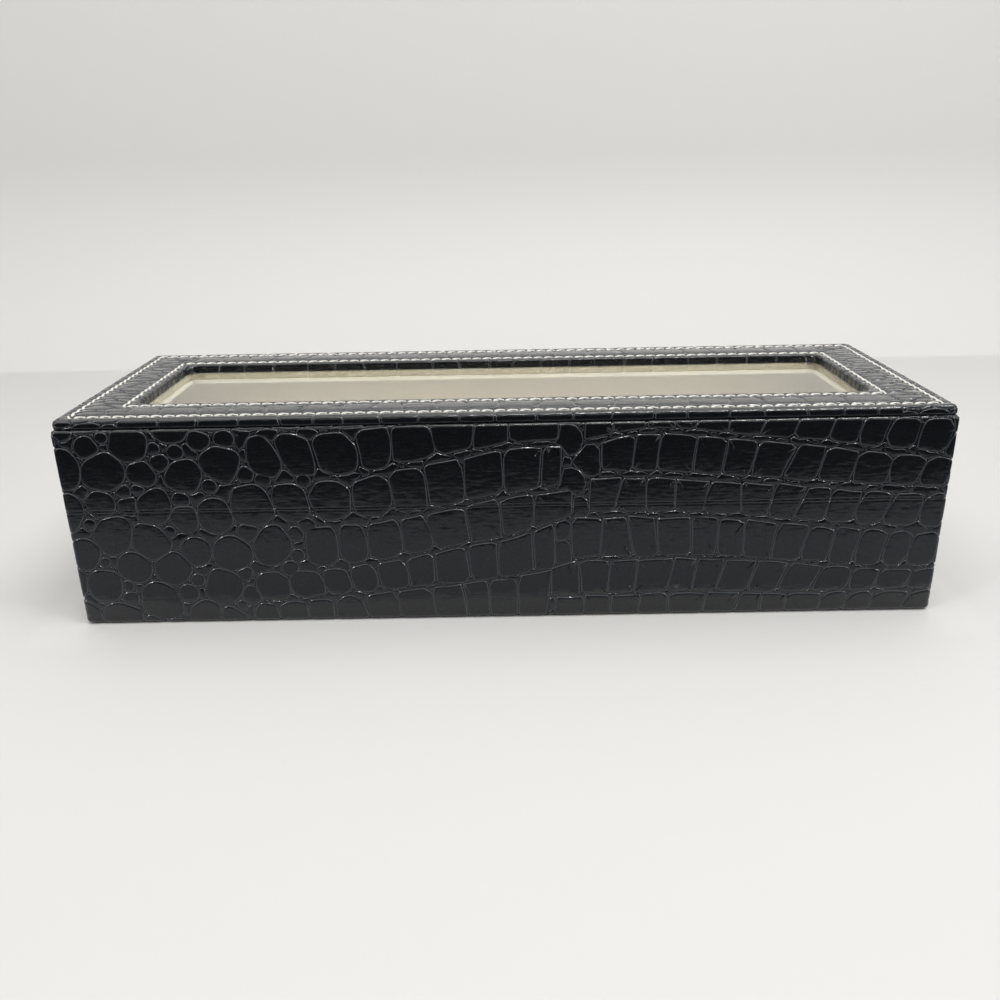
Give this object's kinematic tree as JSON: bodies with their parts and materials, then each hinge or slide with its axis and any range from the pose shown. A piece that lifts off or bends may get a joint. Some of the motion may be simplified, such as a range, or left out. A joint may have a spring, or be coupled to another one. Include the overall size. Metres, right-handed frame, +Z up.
{
  "type": "watch display box",
  "caption": "Long low watch box in black embossed leatherette: hinged lid with stitched padded frame round a glass window, velvet slots with pillows, hasp on the front.",
  "frame": {"origin": "the middle of the underside, on the surface that the box stands on", "axes": "+X along the length, to the right in the picture; +Y from the hinge side, which the picture shows, to the clasp side; +Z up"},
  "size_m": [0.32, 0.1149, 0.08],
  "materials": {
    "croc_leatherette": "high-gloss black, embossed with a crocodile scale pattern, white lockstitch on the lid's panel",
    "fibreboard": "raw medium-density fibreboard, sawn edges",
    "cream_velvet": "short-pile beige velvet on card or wadding",
    "sponge_foam": "thin open-cell foam sheet",
    "black_felt": "pressed black felt",
    "clear_glass": "clear float glass, 2 mm",
    "nickel_plate": "polished nickel plate on steel"
  },
  "bodies": {
    "base": {"base_bottom_board": "fibreboard", "base_front_board": "fibreboard", "base_left_board": "fibreboard", "base_lining_front": "cream_velvet", "base_lining_left": "cream_velvet", "base_lining_rear": "cream_velvet", "base_lining_right": "cream_velvet", "base_rear_board": "fibreboard", "base_right_board": "fibreboard", "base_wrap": "croc_leatherette", "bottom_felt": "black_felt", "clasp_stud": "nickel_plate", "divider_1": "cream_velvet", "divider_2": "cream_velvet", "divider_3": "cream_velvet", "divider_4": "cream_velvet", "divider_5": "cream_velvet", "floor_lining": "cream_velvet", "hinge_strip_lower": "cream_velvet", "rear_leather_lower": "croc_leatherette", "stud_nails": "nickel_plate", "stud_plate": "nickel_plate"},
    "lid": {"glass_pane": "clear_glass", "glass_retainer": "cream_velvet", "hasp_nails": "nickel_plate", "hasp_pin": "nickel_plate", "hasp_plate": "nickel_plate", "hinge_strip_upper": "cream_velvet", "lid_front_board": "fibreboard", "lid_left_board": "fibreboard", "lid_lining_front": "cream_velvet", "lid_lining_left": "cream_velvet", "lid_lining_rear": "cream_velvet", "lid_lining_right": "cream_velvet", "lid_rear_board": "fibreboard", "lid_right_board": "fibreboard", "lid_top_board": "fibreboard", "lid_wrap": "croc_leatherette", "rear_leather_upper": "croc_leatherette", "top_panel_board": "fibreboard", "top_panel_foam": "sponge_foam", "top_panel_leather": "croc_leatherette"},
    "hasp": {"hasp_leaf": "nickel_plate"},
    "pillow_1": {"pillow_1": "cream_velvet"},
    "pillow_2": {"pillow_2": "cream_velvet"},
    "pillow_3": {"pillow_3": "cream_velvet"},
    "pillow_4": {"pillow_4": "cream_velvet"},
    "pillow_5": {"pillow_5": "cream_velvet"},
    "pillow_6": {"pillow_6": "cream_velvet"}
  },
  "joints": [
    {"name": "lid_hinge", "type": "hinge", "parent": "base", "child": "lid", "pos_m": [0, -0.055, 0.0455], "axis": [1, 0, 0], "range_deg": [0, 100]},
    {"name": "hasp_hinge", "type": "hinge", "parent": "lid", "child": "hasp", "pos_m": [0, 0.0582, 0.0502], "axis": [1, 0, 0], "range_deg": [-5, 170]},
    {"name": "pillow_1_lift", "type": "slide", "parent": "base", "child": "pillow_1", "axis": [0, 0, 1], "range_m": [0, 0.02]},
    {"name": "pillow_2_lift", "type": "slide", "parent": "base", "child": "pillow_2", "axis": [0, 0, 1], "range_m": [0, 0.02]},
    {"name": "pillow_3_lift", "type": "slide", "parent": "base", "child": "pillow_3", "axis": [0, 0, 1], "range_m": [0, 0.02]},
    {"name": "pillow_4_lift", "type": "slide", "parent": "base", "child": "pillow_4", "axis": [0, 0, 1], "range_m": [0, 0.02]},
    {"name": "pillow_5_lift", "type": "slide", "parent": "base", "child": "pillow_5", "axis": [0, 0, 1], "range_m": [0, 0.02]},
    {"name": "pillow_6_lift", "type": "slide", "parent": "base", "child": "pillow_6", "axis": [0, 0, 1], "range_m": [0, 0.02]}
  ]
}
